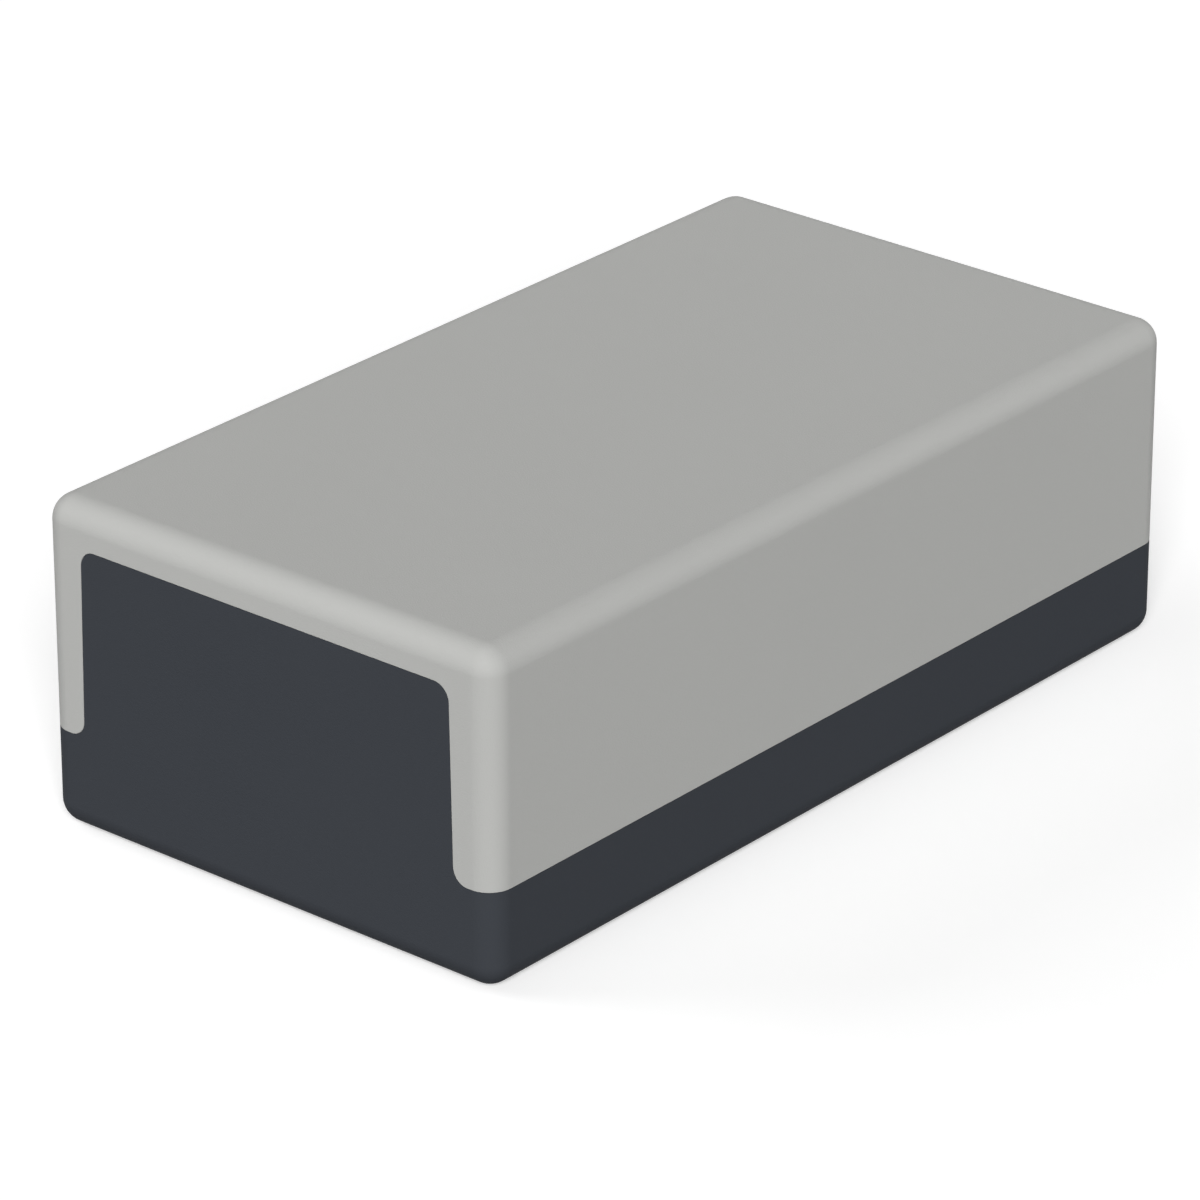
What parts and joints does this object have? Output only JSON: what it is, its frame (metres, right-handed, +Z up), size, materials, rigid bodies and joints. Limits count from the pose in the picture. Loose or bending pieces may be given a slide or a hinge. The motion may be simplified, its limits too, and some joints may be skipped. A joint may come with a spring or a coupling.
{
  "type": "plastic project box",
  "caption": "Two-tone plastic box for a small circuit board: dark base with raised end panels, light cover that slides over them, screwed together from below.",
  "frame": {"origin": "middle of the flat underside that the box stands on", "axes": "+Z up, through the cover; Y along the length, with the front end panel at -Y; X across the width"},
  "size_m": [0.065, 0.12, 0.04],
  "materials": {
    "base_plastic": "satin",
    "cover_plastic": "satin",
    "screw_steel": "satin"
  },
  "bodies": {
    "root": {"base": "base_plastic", "cover": "cover_plastic", "cover_screws": "screw_steel"}
  },
  "joints": []
}
